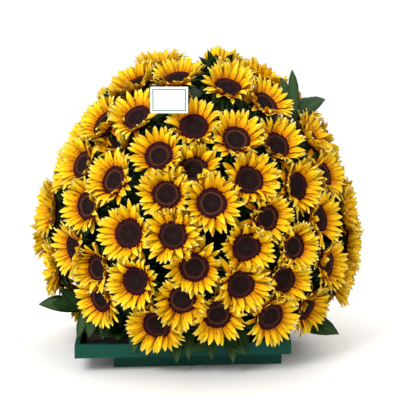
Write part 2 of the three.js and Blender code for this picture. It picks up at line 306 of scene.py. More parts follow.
class Growth:
    """Collects closed strips, and makes them into one mesh."""

    def __init__(self, flowers=1):
        self.side = math.ceil(math.sqrt(CELLS_PER_FLOWER * flowers))
        self.blocks_used = 0
        taken = {(x, y) for x in range(DISC_BLOCK) for y in range(DISC_BLOCK * flowers)}
        every = ((x, y) for y in range(self.side) for x in range(self.side))
        self.cells = (cell for cell in every if cell not in taken)
        self.points, self.notes, self.faces, self.maps, self.kinds = [], [], [], [], []
        self.count = 0

    def add(self, rings, base, tip, along, across, tone, kind, flat=None):
        """Adds strips, given as strips x stations x points x 3, with their notes and finish.

        flat: every strip's map is its plan on the disc, instead of a cell.
        """
        strips, stations, sides, _ = rings.shape
        points = np.concatenate([rings.reshape(strips, -1, 3), base[:, None], tip[:, None]], 1)
        size = points.shape[1]
        faces, corners = strip_faces(stations, sides)
        for k in range(strips):
            if flat is None:
                cell = np.array(next(self.cells)) + 0.04
                self.maps.append((cell + corners * 0.92) / self.side)
            else:
                plan = flat[k][np.maximum(faces, 0)]
                corner = np.array([0, DISC_BLOCK * self.blocks_used])
                self.maps.append((corner + 0.1 + plan * (DISC_BLOCK - 0.2)) / self.side)
            self.faces.append(np.where(faces < 0, -1, faces + self.count + k * size))
        self.points.append(points.reshape(-1, 3))
        along, across = np.full((strips, stations), along), np.full(sides, across)
        along = np.concatenate([np.repeat(along, sides, 1), along[:, :1], along[:, -1:]], 1)
        ends = np.full((strips, 2), np.mean(across))
        across = np.concatenate([np.tile(across, (strips, stations)), ends], 1)
        tone = np.repeat(np.full(strips, tone)[:, None], size, 1)
        self.notes.append(np.stack([along, across, tone], -1).reshape(-1, 3))
        self.kinds.append(np.full(strips * len(faces), kind))
        self.count += strips * size

    def piece(self, name, materials, slot, *nodes):
        points = np.concatenate(self.points)
        faces = np.concatenate(self.faces)
        maps = np.concatenate(self.maps)
        notes = np.concatenate(self.notes)
        real = faces >= 0
        totals = real.sum(1)
        starts = np.concatenate([[0], np.cumsum(totals)[:-1]])
        mesh = bpy.data.meshes.new(name)
        mesh.vertices.add(len(points))
        mesh.vertices.foreach_set("co", points.astype(np.float32).ravel())
        mesh.loops.add(int(totals.sum()))
        mesh.loops.foreach_set("vertex_index", faces[real].astype(np.int32))
        mesh.polygons.add(len(faces))
        mesh.polygons.foreach_set("loop_start", starts.astype(np.int32))
        mesh.polygons.foreach_set("material_index", np.concatenate(self.kinds).astype(np.int32))
        mesh.polygons.foreach_set("use_smooth", np.ones(len(faces), bool))
        mesh.update(calc_edges=True)
        mesh.uv_layers.new(name="OFBake").data.foreach_set("uv", maps[real].astype(np.float32).ravel())
        for k, note in enumerate(("along", "across", "tone")):
            layer = mesh.attributes.new(note, "FLOAT", "POINT")
            layer.data.foreach_set("value", notes[:, k].astype(np.float32))
        mesh.validate()
        return finished(name, mesh, materials, slot, *nodes)


# %% Ways, blades and tubes
# One section for anything leaf-like: edge, over the top to the other edge, and back below.
LEAF_ACROSS = np.array([1.0, 0.5, 0.0, -0.5, -1.0, -0.5, 0.0, 0.5])
LEAF_FACE = np.array([0.0, 1.0, 1.0, 1.0, 0.0, -1.0, -1.0, -1.0])
THIN_ACROSS = np.array([1.0, 0.0, -1.0, 0.0])
THIN_FACE = np.array([0.0, 1.0, 0.0, -1.0])


def unit(vectors):
    return vectors / np.linalg.norm(vectors, axis=-1, keepdims=True)


def turned(angle, first, second):
    """Two crossing ways turned by an angle, the first one towards the second."""
    cosine, sine = np.cos(angle)[..., None], np.sin(angle)[..., None]
    return cosine * first + sine * second, cosine * second - sine * first


def basis_on(axis):
    """Three crossing ways: level to the right, the way above that, and the axis itself."""
    right = unit(np.cross([0.0, 0.05, 1.0], axis))
    return np.array([right, np.cross(axis, right), axis])


def spread(count, stray, rng):
    """Angles once round, evenly spaced but for a stray share of the spacing."""
    return 2 * np.pi * (np.arange(count) + rng.uniform(-stray, stray, count)) / count


def strung(roots, travel, shares, lengths):
    """Points strung from the roots along their ways, at these shares of the lengths."""
    steps = np.diff(shares, prepend=0) * lengths[:, None]
    return roots[:, None] + np.cumsum(travel * steps[..., None], 1)


def frames(path, upward):
    """Side and up vectors along lines of points, with up near the given way."""
    travel = unit(np.gradient(path, axis=-2))
    side = unit(np.cross(upward, travel))
    return side, np.cross(travel, side)


def blades(middle, side, up, half, cup, thick, across=LEAF_ACROSS, face=LEAF_FACE):
    """Rings of leaf-like strips. cup lifts the edges, as a share of the half width."""
    sideways = (half[..., None] * across)[..., None] * side[..., None, :]
    lift = cup[..., None] * half[..., None] * across**2 + thick * face * (1 - 0.5 * across**2)
    return middle[..., None, :] + sideways + lift[..., None] * up[..., None, :]


def tubes(middle, side, up, radius, sides):
    angle = 2 * np.pi * np.arange(sides) / sides
    ring, _ = turned(angle, side[..., None, :], up[..., None, :])
    return middle[..., None, :] + radius[..., None, None] * ring


def tube(growth, path, side, up, radii, sides, end, tone, kind):
    """Adds one tube. end is what the last ring notes as its share of the length."""
    rings = tubes(path[None], side, up, np.full((1, len(path)), radii), sides)
    growth.add(rings, path[:1], path[-1:], np.linspace(0, end, len(path)), 0, tone, kind)


def curve(first, second, third, last, count):
    """Points on the smooth line that leaves first towards second and comes to last from third."""
    share = np.linspace(0, 1, count)[:, None]
    rest = 1 - share
    start = first * rest**3 + 3 * second * rest**2 * share
    return start + 3 * third * rest * share**2 + last * share**3


print("a leaf's section has", len(LEAF_ACROSS), "points, a bract's", len(THIN_ACROSS))

# %% [markdown]
# ## Where the flowers stand
# Each head sits on an egg-shaped dome: 262 mm in radius, 318 mm up from the heart and 215 mm down.
# The front heads are placed one by one. The rest stand in rows round the back.

# %% Places
DOME = {"radius": 0.262, "rise": 0.318, "drop": 0.215}
LOW_TURN = 0.4  # share of the downward turn that the low heads keep
FOAM = {"radius": 0.136, "rise": 0.165, "bottom": 0.0336}
# height over the heart, how far proud of the dome, and bearings in degrees from the front
FRONT_ROWS = [
    (287, -4, [-17.5]), (274, 0, [-52]), (269, 0, [22]), (243, 0, [42]), (217, 6, [-30]),
    (208, 3, [-50.5]), (205, 3, [-1.5]), (189, -14, [-40.5]), (184, 5, [16.5]), (182, 5, [62]),
    (175, 0, [36.5]), (160, 5, [-15]), (143, -9, [-1.5]), (141, 3, [-53]), (123, 4, [19.5]),
    (122, 4, [60.5]), (120, 4, [-32.5]), (110, 0, [41]), (103, 0, [-11]), (89, 8, [5]),
    (77, 0, [-44.5]), (64, -2, [25.5]), (53, 0, [51]), (40, 6, [-23.5, -8]), (20, -2, [17.5]),
    (14, -2, [36.5]), (5, 4, [-49.5]), (-10, 0, [-1]), (-24, -4, [-39]), (-29, 0, [57.5]),
    (-34, 4, [-21.5]), (-39, 4, [15]), (-40, -5, [33.5]), (-44, 0, [-75]), (-66, -4, [-5.5]),
    (-77, 0, [-40.5]), (-92, 0, [8]), (-99, 9, [29.5]), (-106, -2, [56]), (-117, -3, [-17.5]),
]
# height, first and last bearing, how many, and how much wider the left and the right side stand
BACK_ROWS = [
    (312, 130, 130, 1, 0, 0), (306, 282, 282, 1, 0, 0), (283, 85, 265, 5, -0.12, 0),
    (232, 86, 274, 8, -0.09, 0.02), (172, 92, 286, 10, -0.07, 0), (112, 84, 282, 12, -0.05, 0),
    (52, 76, 286, 13, 0.02, 0.03), (-12, 78, 268, 12, 0.05, 0.05), (-72, 72, 270, 11, 0.03, 0.07),
    (-126, 80, 264, 9, 0.02, 0.02), (303, 48, 48, 1, 0, 0),
]
STAGGER = 8
CLUSTER_SIDES = [(130, "right"), (180, "back_right"), (230, "back_left"), (360, "left")]
CLUSTER_SPLIT = 140


def place(bearing, height, lift=0.0, node=None):
    """A spot on the dome, in metres, with the way it faces. height and lift come in millimetres."""
    rise = DOME["rise"] if height >= 0 else DOME["drop"]
    reach = DOME["radius"] * math.sqrt(1 - (height / 1000 / rise) ** 2)
    angle = math.radians(bearing)
    out = np.array([reach * math.sin(angle), -reach * math.cos(angle), height / 1000])
    turn = (DOME["radius"] / rise) ** 2 * (1 if height >= 0 else LOW_TURN)
    axis = unit(out * [1, 1, turn])
    centre = HEART + out + axis * lift / 1000
    return {"centre": centre, "axis": axis, "lift": lift / 1000, "node": node}


def foam_entry(point):
    """Where a straight way from a point to the heart comes to the foam, and its way in from there."""
    offset = point - HEART
    level = math.hypot(offset[0], offset[1]) / FOAM["radius"]
    rise = max(offset[2], 0) / FOAM["rise"]
    entry = HEART + offset / math.hypot(level, rise)
    return entry, unit(HEART - entry)


front = []
for height, lift, bearings in FRONT_ROWS:
    for bearing in bearings:
        front.append(place(bearing, height, lift, f"sunflower_{len(front) + 1:02d}"))
back = []
for height, first, last, count, left, right in BACK_ROWS:
    for index, bearing in enumerate(np.linspace(first, last, count)):
        side = next(name for limit, name in CLUSTER_SIDES if bearing <= limit)
        level = "upper" if height > CLUSTER_SPLIT else "lower"
        raised = height + STAGGER * (index % 2)
        flower = place(bearing, raised, 0.0, f"sunflowers_{side}_{level}")
        flower["centre"][0] *= 1 + (left if flower["centre"][0] < 0 else right)
        back.append(flower)
flowers = front + back
centres = np.array([flower["centre"] for flower in flowers])
print("front heads:", len(front), "back heads:", len(back))

# %% [markdown]
# ## Petals that make room for each other
# A ray petal is 30 to 40 mm long. Where a neighbour is close there is no room to lie flat, so it
# stands up, curls over the disc or tucks under. So each petal first asks how far away the border with
# the next head is, and its slope follows from that.

# %% Room round a head
DISC = 0.027  # radius
LOWEST_PETAL = 0.052
NEAR = 0.14  # heads further off than this leave each other alone
OPEN_REACH, TIGHT_REACH = 0.09, 0.028
PROUD_SHARE = 0.6  # how much further a proud head spreads over its neighbour


def room(index, ways):
    """How far from the head's middle each way, a unit vector, is free."""
    flower = flowers[index]
    limit = np.full(len(ways), OPEN_REACH)
    down = ways[:, 2] < -0.1
    drop = flower["centre"][2] - LOWEST_PETAL
    limit[down] = np.minimum(limit[down], np.maximum(drop / -ways[down, 2], TIGHT_REACH))
    away = centres - flower["centre"]
    distance = np.linalg.norm(away, axis=1)
    for other in np.flatnonzero((distance > 0) & (distance < NEAR)):
        level = away[other] - flower["axis"] * (away[other] @ flower["axis"])
        reach = np.linalg.norm(level)
        facing = ways @ (level / reach)
        border = reach / 2 + PROUD_SHARE * (flower["lift"] - flowers[other]["lift"])
        near = facing > 0.12
        limit[near] = np.minimum(limit[near], border / facing[near])
    return limit


closest = min(np.sort(np.linalg.norm(centres - spot, axis=1))[1] for spot in centres)
print("nearest two heads:", round(closest, 4))

# %% Ray petals
PETAL_STATIONS = np.array([0.0, 0.13, 0.3, 0.5, 0.7, 0.86, 0.96])
PETAL_WIDTHS = np.array([0.55, 0.82, 1.0, 1.0, 0.86, 0.52, 0.2])
PETAL_COUNT = (20, 24)  # in a layer: at least, and one more than at most
PETAL_LENGTH, PETAL_HALF, PETAL_THICK = (0.031, 0.037), (0.0046, 0.0060), 0.00028
RUFFLE = 0.0009
# the back layer and the front one: length, where it starts, how open in degrees, how far raised
LAYERS = [(1.0, 0.0225, 24, -0.0015), (0.92, 0.0235, 38, 0.0008)]
TUCKED_SHARE = 0.25  # of the pressed petals in the back layer


def petals(growth, index, spin, rng, count, layer):
    """One layer of ray petals. Layer 0 is the back one, layer 1 the front one."""
    flower = flowers[index]
    basis = flower["basis"]
    axis = basis[2]
    share = PETAL_STATIONS
    shorter, start, opened, raised = LAYERS[layer]
    ways, sides = turned(spin + spread(count, 0.3, rng), basis[0], basis[1])
    length = rng.uniform(*PETAL_LENGTH, count) * shorter * flower["size"]
    free = room(index, ways) + rng.uniform(0.001, 0.009, count) - start
    flatness = np.clip(free / length, 0.12, 1.0)
    pressed = 1 - np.clip((free / length - 0.55) / 0.45, 0, 1)
    slope = np.arccos(flatness) * rng.uniform(0.75, 1.05, count)
    slope += np.radians(opened + rng.normal(0, 8, count)) * (1 - pressed)
    tucked = (rng.random(count) < TUCKED_SHARE * pressed) & (layer == 0)
    slope = np.where(tucked, -0.6 * slope, slope)
    curl = np.radians(rng.normal(-16, 14, count) + pressed * rng.normal(8, 38, count))
    tilt = slope[:, None] + curl[:, None] * (share**1.4 - 0.45) * 1.6
    sway = rng.normal(0, 0.10, count)[:, None] * share
    sway = sway + (pressed * rng.normal(0, 0.25, count))[:, None] * share**2
    forward, aside = turned(sway, ways[:, None], sides[:, None])
    travel, face = turned(tilt, forward, axis)
    root = flower["centre"] + ways * start + axis * raised
    middle = strung(root, travel, share, length)
    twist = (rng.normal(0, 0.25, count) + pressed * rng.normal(0, 0.6, count))[:, None] * share
    side, up = turned(twist, aside, face)
    half = rng.uniform(*PETAL_HALF, count)[:, None] * PETAL_WIDTHS * flower["size"]
    cup = rng.uniform(0.12, 0.42, count)[:, None] * (0.6 + 0.8 * share) + 0.5 * (1 - share) ** 4
    rings = blades(middle, side, up, half, cup, PETAL_THICK)
    waves, shift = rng.uniform(1.2, 2.4, count)[:, None], rng.random(count)[:, None]
    ruffle = RUFFLE * np.sin(2 * np.pi * (waves * share + shift))
    rings = rings + (ruffle[..., None] * LEAF_ACROSS)[..., None] * up[:, :, None]
    tip = middle[:, -1] + travel[:, -1] * (length * 0.05)[:, None]
    # painted shade: most of a petal's tone comes from its head's side shade, deeper orange on the
    # right; the rest varies at random
    tone = 0.6 * flower["warmth"] + 0.4 * rng.random(count)
    growth.add(rings, root - travel[:, 0] * 0.002, tip, share, LEAF_ACROSS, tone, 0)


print("petals in a head, at most:", 2 * (PETAL_COUNT[1] - 1), "with", len(PETAL_STATIONS), "rings each")

# %% [markdown]
# ## The dark disc
# Hundreds of small florets fill the disc in two sets of spirals. The outer ones have opened and stand
# up as a ruffled maroon ring, the inner ones are still shut, low and nearly black. A floret goes a
# golden angle on from the last one, which is how the plant does it too.

# %% Disc and florets
FLORETS = 170
OPENED = 0.62  # share of the disc's radius where the opened florets begin
GOLDEN_ANGLE = math.pi * (3 - math.sqrt(5))
DISC_SIDES = 24
DISC_RADII = np.array([0.7, 0.98, 1.0, 0.86, 0.68, 0.52, 0.3, 0.1])
DISC_LEVELS = np.array([-3.0, -1.0, 2.2, 4.6, 4.4, 3.0, 2.4, 2.2]) / 1000
SQUARE = np.pi / 2 * np.arange(4)  # the corners of a floret
# an opened floret and a shut one: lean and its spread, heights, half widths, rings and their widths
OPEN_RINGS, OPEN_WIDTHS = np.array([-0.3, 0.75]), np.array([0.8, 1.0])
OPEN_KIND = ((0.35, 0.25), (0.0020, 0.0036), (0.0008, 0.0011), OPEN_RINGS, OPEN_WIDTHS)
SHUT_KIND = ((-0.15, 0.1), (0.0008, 0.0014), (0.0011, 0.0014), np.array([0.0]), np.array([1.0]))


def uneven(angle, spin):
    """How far from round a disc is."""
    return 1 + 0.02 * np.sin(3 * angle + spin) + 0.015 * np.sin(5 * angle - spin)


# %% One disc
def disc_head(growth, index, spin, rng):
    flower = flowers[index]
    basis = flower["basis"]
    centre, axis = flower["centre"], basis[2]
    radius = DISC * flower["size"]
    age = rng.random()
    angle = 2 * np.pi * np.arange(DISC_SIDES) / DISC_SIDES
    ring, _ = turned(angle, basis[0], basis[1])
    flat = (radius * DISC_RADII)[:, None, None] * (ring * uneven(angle, spin)[:, None])[None]
    rings = (centre + flat + DISC_LEVELS[:, None, None] * axis)[None]
    base, tip = (centre - axis * 0.0035)[None], (centre + axis * DISC_LEVELS[-1])[None]
    growth.add(rings, base, tip, DISC_RADII, age, 0.5, 1)

    number = np.arange(FLORETS) + 0.5
    share = np.sqrt(number / FLORETS)
    turn = number * GOLDEN_ANGLE + spin
    out, side = turned(turn, basis[0], basis[1])
    level = np.interp(share, DISC_RADII[::-1], DISC_LEVELS[::-1])
    foot = centre + out * (radius * share * uneven(turn, spin))[:, None] + axis * level[:, None]
    opened = share > OPENED + 0.03 * np.sin(4 * turn + 2 * spin)
    plan = np.stack([np.cos(turn), np.sin(turn)], -1) * share[:, None]
    corner = np.stack([np.cos(SQUARE), np.sin(SQUARE)], -1) * 0.055
    for kind, chosen in ((OPEN_KIND, opened), (SHUT_KIND, ~opened)):
        leans, heights, halves, levels, widths = kind
        count = int(chosen.sum())
        lean = rng.normal(*leans, count) * (share[chosen] if kind is OPEN_KIND else 1)
        stray = rng.normal(0, 0.2, count)[:, None]
        grow = unit(axis + out[chosen] * lean[:, None] + side[chosen] * stray)
        height = rng.uniform(*heights, count)
        wide = rng.uniform(*halves, count)
        middle = foot[chosen][:, None] + (height[:, None] * levels)[..., None] * grow[:, None]
        aside = np.repeat(side[chosen][:, None], len(levels), 1)
        outward = np.repeat(np.cross(grow, side[chosen])[:, None], len(levels), 1)
        rings = tubes(middle, -outward, aside, wide[:, None] * widths, len(SQUARE))
        spots = []
        for spot in plan[chosen]:
            ring_plan = [spot + corner * (1 - 0.3 * s) for s in range(len(levels))]
            spots.append((np.concatenate([*ring_plan, spot[None], spot[None]]) * 0.93 + 1) / 2)
        base, tip = foot[chosen] - grow * 0.0008, foot[chosen] + grow * height[:, None]
        growth.add(rings, base, tip, share[chosen][:, None], age, rng.random(count), 1, spots)
    growth.blocks_used += 1


print("florets in a disc:", FLORETS, "opened from", OPENED * DISC * 1000, "mm out")

# %% [markdown]
# ## Behind the head
# Pointed green bracts carry the petals, a stem a little thicker than a pencil runs down into the foam,
# and the top leaves stay on it. From outside they fill the gaps between heads with dark green.

# %% Bracts and cup
BRACT_STATIONS = np.array([0.0, 0.35, 0.7, 0.93])
BRACT_WIDTHS = np.array([0.8, 1.0, 0.6, 0.15])
BRACT_LENGTH, BRACT_HALF, BRACT_THICK = (0.020, 0.028), (0.0042, 0.0054), 0.0006


def bracts(growth, index, spin, rng, count=18, scale=1.0):
    flower = flowers[index]
    basis = flower["basis"]
    share = BRACT_STATIONS
    ways, sides = turned(spin + spread(count, 0.2, rng), basis[0], basis[1])
    length = rng.uniform(*BRACT_LENGTH, count) * scale
    rise = np.radians(rng.normal(12, 10, count))[:, None]
    bend = np.radians(rng.normal(25, 14, count))[:, None]
    travel, up = turned(rise - bend * share, ways[:, None], basis[2])
    root = flower["centre"] + ways * 0.014 - basis[2] * 0.0085
    middle = strung(root, travel, share, length)
    side = np.repeat(sides[:, None], len(share), 1)
    half = rng.uniform(*BRACT_HALF, count)[:, None] * BRACT_WIDTHS * scale
    cup = np.full(half.shape, 0.15)
    rings = blades(middle, side, up, half, cup, BRACT_THICK, THIN_ACROSS, THIN_FACE)
    tip = middle[:, -1] + travel[:, -1] * (length * 0.1)[:, None]
    growth.add(rings, root - travel[:, 0] * 0.002, tip, share, THIN_ACROSS, rng.random(count), 2)


def green_cup(growth, centre, basis, levels, widths, tone):
    """The cup under a head. Its four rings' heights and half widths come in millimetres."""
    path = centre + np.array(levels)[:, None] / 1000 * basis[2]
    tube(growth, path, basis[0], basis[1], np.array(widths) / 1000, 12, 0.3, tone, 2)


print("bracts reach", max(BRACT_LENGTH), "past the cup")

# %% Stem
STEM_RADII = np.array([5.2, 4.4, 4.2, 4.2, 4.3, 4.4, 4.4]) / 1000
STEM_DEPTH = 0.03  # how far a stem runs on into the foam
HEAD_CUP = ([-13.0, -10.5, -6.0, -2.0], [6.0, 14.0, 21.0, 23.0])


def cup_and_stem(growth, index, rng):
    """The green cup below the disc and the stem. Returns the stem's line."""
    centre, basis = flowers[index]["centre"], flowers[index]["basis"]
    entry, inward = foam_entry(centre)
    neck = centre - basis[2] * 0.034 + rng.normal(0, 0.003, 3)
    top, bottom = centre - basis[2] * 0.009, entry + inward * STEM_DEPTH
    path = curve(top, neck, entry - inward * 0.02, bottom, len(STEM_RADII))
    tube(growth, path, *frames(path, basis[0]), STEM_RADII, 8, 1, rng.random(1), 2)
    green_cup(growth, centre, basis, *HEAD_CUP, rng.random(1))
    return path


# %% Leaves
LOWEST_LEAF = 0.039  # just over the tray's floor
LEAF_THICK = 0.0004
LEAF_STATIONS = np.array([0.0, 0.1, 0.25, 0.45, 0.65, 0.83, 0.95])
LEAF_WIDTHS = np.array([0.12, 0.42, 0.9, 1.0, 0.74, 0.38, 0.12])


def leaves(growth, roots, ways, lengths, halves, droop, rng):
    """Leaves that start at roots, first along ways, and then bend down by droop, in radians."""
    count = len(roots)
    share = LEAF_STATIONS
    fall = droop[:, None] * share
    sink = np.stack([0 * fall, 0 * fall, -np.tan(np.clip(fall, -1.2, 1.2))], -1)
    travel = unit(np.repeat(ways[:, None], len(share), 1) + sink)
    middle = strung(roots, travel, share, lengths)
    middle[..., 2] = np.maximum(middle[..., 2], LOWEST_LEAF)
    side = unit(np.cross(np.array([0.02, 0.01, 1.0]) + rng.normal(0, 0.12, (count, 1, 3)), travel))
    up = np.cross(travel, side)
    half = halves[:, None] * LEAF_WIDTHS
    cup = rng.uniform(0.15, 0.4, count)[:, None] + 0 * half
    rings = blades(middle, side, up, half, cup, LEAF_THICK)
    wave = 0.09 * half * np.sin(2 * np.pi * (2.6 * share + rng.random(count)[:, None]))
    rings = rings + (wave[..., None] * np.abs(LEAF_ACROSS) ** 3)[..., None] * up[:, :, None]
    tip = middle[:, -1] + travel[:, -1] * (lengths * 0.05)[:, None]
    growth.add(rings, roots - travel[:, 0] * 0.001, tip, share, LEAF_ACROSS, rng.random(count), 2)


def stem_leaves(growth, index, path, rng, count=6):
    basis = flowers[index]["basis"]
    at = rng.choice([2, 3, 3, 4], count)
    turn = rng.uniform(0, 2 * np.pi)
    ways, _ = turned(turn + spread(count, 0.25, rng), basis[0], basis[1])
    ways = unit(ways + basis[2] * rng.uniform(0.05, 0.5, count)[:, None])
    lengths = rng.uniform(0.052, 0.074, count)
    halves = rng.uniform(0.014, 0.021, count)
    leaves(growth, path[at], ways, lengths, halves, rng.uniform(0.0, 0.6, count), rng)


print("a stem is", round(2000 * STEM_RADII.mean(), 1), "mm thick")

# %% [markdown]
# ## The petal's finish
# A petal runs from deep orange at the disc through gold to a pale lemon tip, with fine grooves along
# it.
# The deep orange at the disc is partly the petal's own and partly painted shade, the grooves are
# darkened as painted shade, and heads further right, away from the key lamp, get a deeper orange as
# painted shade.
# The mesh carries how far along and across its petal each point is, so the finish can follow the
# petal however it bends.

# %% Petal finish
ray = Finish("ray petal", Roughness=0.6, Specular_IOR_Level=0.12)
along, across, tone = ray.note("along"), ray.note("across"), ray.note("tone")
streak = ray.noise(ray.place(across * 5.0, along * 1.1, tone * 40.0), 1.6, 4.0)
groove = ray.noise(ray.place(across * 9.0, along * 0.7, tone * 40.0), 1.3, 2.0)
spot = along + (streak - 0.5) * 0.45
# partly painted shade: the petal's own orange darkens to deep rust at its base, where the disc and the
# other petals shade it
gold = ray.ramp(
    spot,
    (0.0, (0.50, 0.085, 0.0)),
    (0.2, (0.82, 0.27, 0.0)),
    (0.42, (0.98, 0.53, 0.001)),
    (0.68, (1.0, 0.71, 0.004)),
    (0.86, (1.0, 0.83, 0.050)),
    (1.0, (1.0, 0.96, 0.42)),
)
# painted shade mixed with real tone: a higher tone, mostly set by how far right the head stands, blends
# the gold towards deep orange
gold_toned_and_side_shaded = ray.blend(tone * 0.36, gold, (0.96, 0.43, 0.001))
# painted shade: along the grooves the petal colour is multiplied towards deep orange, as shade in the
# creases
shade = ray.blend((groove * -2.2 + 1.25).through("MAXIMUM"), gold_toned_and_side_shaded, (0.62, 0.30, 0.05), "MULTIPLY")
PETAL = ray.wear(shade, 0.5 + streak * 0.2, groove, 0.0009)

# %% [markdown]
# ## The disc's finish
# Florets are nearly black in the middle and maroon where they have opened, with a tan ring between the
# two in a young head. An image could show that, but a ramp over the florets' own notes needs none, and
# every head gets its own age.

# %% Disc finish
floret = Finish("disc florets", Roughness=0.9, Specular_IOR_Level=0.08)
along, age, tone = floret.note("along"), floret.note("across"), floret.note("tone")
grain = floret.noise(floret.where(), 900.0, 2.0)
spot = along + (grain - 0.5) * 0.10
ring = (1 - ((along - 0.58 - age * 0.08).through("ABSOLUTE")) * 12.0).through("MAXIMUM")
dark = floret.ramp(
    spot,
    (0.0, (0.014, 0.012, 0.008)),
    (0.3, (0.007, 0.005, 0.006)),
    (0.58, (0.014, 0.005, 0.006)),
    (0.75, (0.027, 0.004, 0.007)),
    (1.0, (0.020, 0.002, 0.006)),
)
ringed = floret.blend(ring * (1 - age) * 0.85, dark, (0.155, 0.058, 0.022))
speckled = floret.blend(tone * 0.16, ringed, (0.070, 0.014, 0.014))
DISC_FINISH = floret.wear(speckled, 0.75 + grain * 0.2, grain, 0.0005)

# %% [markdown]
# ## The leaf's finish
# A leaf is dark green with pale ribs. Its side veins could be modelled, but a sine over the length that
# leans back from the rib is simpler, and it follows every bend.

# %% Leaf finish
green = Finish("leaf green", Specular_IOR_Level=0.2)
along, across, tone = green.note("along"), green.note("across"), green.note("tone")
reach = across.through("ABSOLUTE")
mottle = green.noise(green.where(), 140.0, 3.0)
veins = ((along - reach * 0.22) * 52.0).through("SINE")
vein = ((veins - 0.80) * 2.0).through("MAXIMUM")
rib = (1 - reach * 9.0).through("MAXIMUM")
blade_green = green.blend(mottle, (0.006, 0.024, 0.005), (0.015, 0.052, 0.009))
toned = green.blend(tone * 0.4, blade_green, (0.030, 0.074, 0.012))
veined = green.blend((rib * 0.55).through("MAXIMUM", vein * 0.25), toned, (0.075, 0.130, 0.034))
LEAF = green.wear(veined, 0.42 + mottle * 0.2, vein * 0.5 + rib, 0.0004)

# %% [markdown]
# ## Gaps between the heads
# A florist fills every gap with leaves, so that neither stems nor foam can be seen. So a spiral of
# spots over the whole dome looks for places far from any head, and a rosette of leaves closes each one
# a little deeper down.

# %% Gaps
GAP, GAP_APART, GAP_DEPTH = 0.050, 0.040, 0.82
GAP_SPOTS, GAP_TOP, GAP_SPAN = 900, 305, 455  # how many spots, and their heights in millimetres
gaps = {index: [] for index in range(len(flowers))}
chosen = np.zeros((0, 3))
for step in range(GAP_SPOTS):
    height = GAP_TOP - GAP_SPAN * (step + 0.5) / GAP_SPOTS
    spot = place(math.degrees(step * GOLDEN_ANGLE), height)["centre"]
    distance = np.linalg.norm(centres - spot, axis=1)
    apart = np.linalg.norm(chosen - spot, axis=1)
    owner = int(np.argmin(distance))
    if distance[owner] > GAP and np.all(apart > GAP_APART) and len(gaps[owner]) < 2:
        chosen = np.vstack([chosen, spot])
        gaps[owner].append(spot)
print("gaps with a rosette of leaves:", len(chosen))


def rosette(growth, spot, rng, count=4):
    root = HEART + (spot - HEART) * GAP_DEPTH
    right, over, axis = basis_on(unit(spot - HEART))
    angle = rng.uniform(0, 2 * np.pi) + 2 * np.pi * np.arange(count) / count
    ways, _ = turned(angle, right, over)
    ways = unit(ways + axis * rng.uniform(0.1, 0.6, count)[:, None])
    lengths = rng.uniform(0.046, 0.060, count)
    halves = rng.uniform(0.016, 0.021, count)
    droop = rng.uniform(0.0, 0.4, count)
    leaves(growth, np.tile(root, (count, 1)), ways, lengths, halves, droop, rng)


# %% [markdown]
# ## Growing the heads
# Every head draws from its own seeded numbers, so one can be changed and the rest stay as they are.
# Front heads are pieces of their own. Back heads go two to a piece, because a part with fewer pieces
# is easier to handle. The two heads on the very top have sunk a little, and one of them looks up and
# away, so that its bracts show.

# %% Grow them
FIRST_SEED = 1000
FLOWER_FINISHES = (PETAL, DISC_FINISH, LEAF)
CROWN = len(front)  # the first back head stands on the very top
CROWN_FACING = np.array([0.12, 0.72, 0.62])
CROWN_LEAVES = np.array([[-0.5, -1.0, 0.5], [0.1, -1.0, 0.7], [0.6, -0.9, 0.4], [-0.9, -0.4, 0.5]])
CROWN_LEAF = (0.066, 0.016, 0.5)  # length, half width and droop
SETTLED = {CROWN: 0.009, len(flowers) - 1: 0.016}


def grow(growth, index):
    flower = flowers[index]
    rng = np.random.default_rng(FIRST_SEED + index)
    axis = unit(flower["axis"] + rng.normal(0, 0.05, 3))
    flower["basis"] = basis_on(unit(CROWN_FACING) if index == CROWN else axis)
    flower["centre"] = flower["centre"] - [0, 0, SETTLED.get(index, 0.0)]
    flower["size"] = rng.uniform(0.94, 1.04)
    # painted shade: heads further right, away from the key lamp, get deeper orange petals; the sine
    # adds a tone that varies from head to head
    warmth = 0.45 + flower["centre"][0] * 1.6 + 0.3 * math.sin(index * 2.4)
    flower["warmth"] = np.clip(warmth, 0, 1)
    spin = rng.uniform(0, 2 * np.pi)
    count = int(rng.integers(*PETAL_COUNT))
    petals(growth, index, spin, rng, count, 0)
    petals(growth, index, spin + np.pi / count, rng, count, 1)
    disc_head(growth, index, spin, rng)
    bracts(growth, index, spin, rng)
    path = cup_and_stem(growth, index, rng)
    stem_leaves(growth, index, path, rng)
    for spot in gaps[index]:
        rosette(growth, spot, rng)
    if index == CROWN:
        bracts(growth, index, spin + 0.2, rng, 14, 1.6)
        roots = np.tile(path[-3], (len(CROWN_LEAVES), 1))
        lengths, halves, droop = (np.full(len(roots), size) for size in CROWN_LEAF)
        leaves(growth, roots, unit(CROWN_LEAVES), lengths, halves, droop, rng)


for index, flower in enumerate(front):
    growth = Growth()
    grow(growth, index)
    growth.piece(f"bloom_{index + 1:02d}", FLOWER_FINISHES, "sunflower", flower["node"])
for node in sorted({flower["node"] for flower in back}):
    members = [k for k, flower in enumerate(flowers) if flower["node"] == node]
    for number, start in enumerate(range(0, len(members), 2)):
        pair = members[start : start + 2]
        growth = Growth(len(pair))
        for index in pair:
            grow(growth, index)
        name = node.replace("sunflowers", "blooms") + f"_{number + 1}"
        growth.piece(name, FLOWER_FINISHES, "sunflower", node)
made = [o for o in bpy.data.objects if o.name.startswith("bloom")]
print("flower pieces:", len(made), "faces:", sum(len(o.data.polygons) for o in made))

# %% [markdown]
# ## Leaf sprigs
# A few loose leaves stick out past the flowers. Each is a long, glossy blade on a thin stalk, folded a
# little along its rib, and it shows its broad side to the front.

